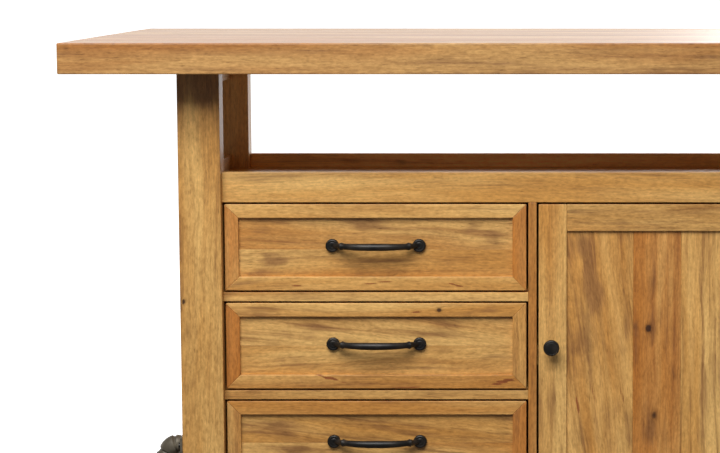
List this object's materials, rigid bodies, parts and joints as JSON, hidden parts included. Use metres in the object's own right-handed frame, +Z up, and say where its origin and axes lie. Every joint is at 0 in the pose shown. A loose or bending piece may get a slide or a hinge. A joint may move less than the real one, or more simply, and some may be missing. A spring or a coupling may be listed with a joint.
{
  "type": "kitchen island cart",
  "caption": "Wooden kitchen island cart: overhanging slab top, open tray bay, drawers and a cupboard door in front, end foot rails, swivel casters.",
  "frame": {"origin": "on the floor, under the centre of the slab", "axes": "+Z up, +X along the slab to the right of a person who faces the drawers, -Y the side with the drawers and the door"},
  "size_m": [1.524, 0.914, 0.914],
  "materials": {
    "slab_wood": "satin lacquered solid mango wood, glued boards",
    "frame_wood": "satin lacquered solid mango wood",
    "panel_wood": "satin lacquered mango wood panel with strong figure",
    "inner_wood": "plain mango wood, thin matt lacquer",
    "black_iron": "cast iron, black lacquer worn to a soft sheen",
    "waxed_iron": "bare cast iron, brushed and waxed",
    "black_steel": "pressed steel, black lacquer",
    "wheel_rubber": "hard grey-black rubber"
  },
  "bodies": {
    "cabinet": {"top_slab": "slab_wood", "top_battens": "inner_wood", "post_front_left": "frame_wood", "post_front_right": "frame_wood", "post_rear_left": "frame_wood", "post_rear_right": "frame_wood", "front_top_rail": "frame_wood", "front_bottom_rail": "frame_wood", "rear_top_rail": "frame_wood", "rear_bottom_rail": "frame_wood", "left_end_rails": "frame_wood", "right_end_rails": "frame_wood", "end_panels": "panel_wood", "rear_stile": "frame_wood", "back_panels": "panel_wood", "tray_board": "panel_wood", "bottom_board": "inner_wood", "partition": "inner_wood", "divider_stile": "frame_wood", "drawer_rails": "frame_wood", "drawer_runners": "inner_wood", "shelf": "inner_wood", "shelf_cleats": "inner_wood", "door_catch": "black_steel", "cabinet_hinge_leaves": "black_steel", "caster_plates": "black_steel", "wood_screws": "black_steel", "foot_rail_left": "waxed_iron", "foot_rail_right": "waxed_iron"},
    "drawer_1": {"drawer_1_frame": "frame_wood", "drawer_1_panel": "panel_wood", "drawer_1_box": "inner_wood", "drawer_1_pull": "black_iron", "drawer_1_pull_bolts": "black_steel"},
    "drawer_2": {"drawer_2_frame": "frame_wood", "drawer_2_panel": "panel_wood", "drawer_2_box": "inner_wood", "drawer_2_pull": "black_iron", "drawer_2_pull_bolts": "black_steel"},
    "drawer_3": {"drawer_3_frame": "frame_wood", "drawer_3_panel": "panel_wood", "drawer_3_box": "inner_wood", "drawer_3_pull": "black_iron", "drawer_3_pull_bolts": "black_steel"},
    "door": {"door_frame": "frame_wood", "door_panel": "panel_wood", "door_knob": "black_iron", "door_hinge_leaves": "black_steel", "door_strike": "black_steel"},
    "caster_1": {"caster_fork_1": "black_steel"},
    "wheel_1": {"caster_wheel_1": "wheel_rubber"},
    "caster_2": {"caster_fork_2": "black_steel"},
    "wheel_2": {"caster_wheel_2": "wheel_rubber"},
    "caster_3": {"caster_fork_3": "black_steel"},
    "wheel_3": {"caster_wheel_3": "wheel_rubber"},
    "caster_4": {"caster_fork_4": "black_steel"},
    "wheel_4": {"caster_wheel_4": "wheel_rubber"}
  },
  "joints": [
    {"name": "drawer_1_slide", "type": "slide", "parent": "cabinet", "child": "drawer_1", "axis": [0, -1, 0], "range_m": [0, 0.28]},
    {"name": "drawer_2_slide", "type": "slide", "parent": "cabinet", "child": "drawer_2", "axis": [0, -1, 0], "range_m": [0, 0.28]},
    {"name": "drawer_3_slide", "type": "slide", "parent": "cabinet", "child": "drawer_3", "axis": [0, -1, 0], "range_m": [0, 0.28]},
    {"name": "door_hinge", "type": "hinge", "parent": "cabinet", "child": "door", "pos_m": [0.5122, -0.3426, 0.4], "axis": [0, 0, 1], "range_deg": [0, 95]},
    {"name": "caster_1_swivel", "type": "hinge", "parent": "cabinet", "child": "caster_1", "pos_m": [-0.551, -0.334, 0.09], "axis": [0, 0, 1], "continuous": true},
    {"name": "wheel_1_spin", "type": "hinge", "parent": "caster_1", "child": "wheel_1", "pos_m": [-0.527, -0.334, 0.0375], "axis": [0, 1, 0], "continuous": true},
    {"name": "caster_2_swivel", "type": "hinge", "parent": "cabinet", "child": "caster_2", "pos_m": [0.551, -0.334, 0.09], "axis": [0, 0, 1], "continuous": true},
    {"name": "wheel_2_spin", "type": "hinge", "parent": "caster_2", "child": "wheel_2", "pos_m": [0.527, -0.334, 0.0375], "axis": [0, 1, 0], "continuous": true},
    {"name": "caster_3_swivel", "type": "hinge", "parent": "cabinet", "child": "caster_3", "pos_m": [-0.551, 0.056, 0.09], "axis": [0, 0, 1], "continuous": true},
    {"name": "wheel_3_spin", "type": "hinge", "parent": "caster_3", "child": "wheel_3", "pos_m": [-0.527, 0.056, 0.0375], "axis": [0, 1, 0], "continuous": true},
    {"name": "caster_4_swivel", "type": "hinge", "parent": "cabinet", "child": "caster_4", "pos_m": [0.551, 0.056, 0.09], "axis": [0, 0, 1], "continuous": true},
    {"name": "wheel_4_spin", "type": "hinge", "parent": "caster_4", "child": "wheel_4", "pos_m": [0.527, 0.056, 0.0375], "axis": [0, 1, 0], "continuous": true}
  ]
}
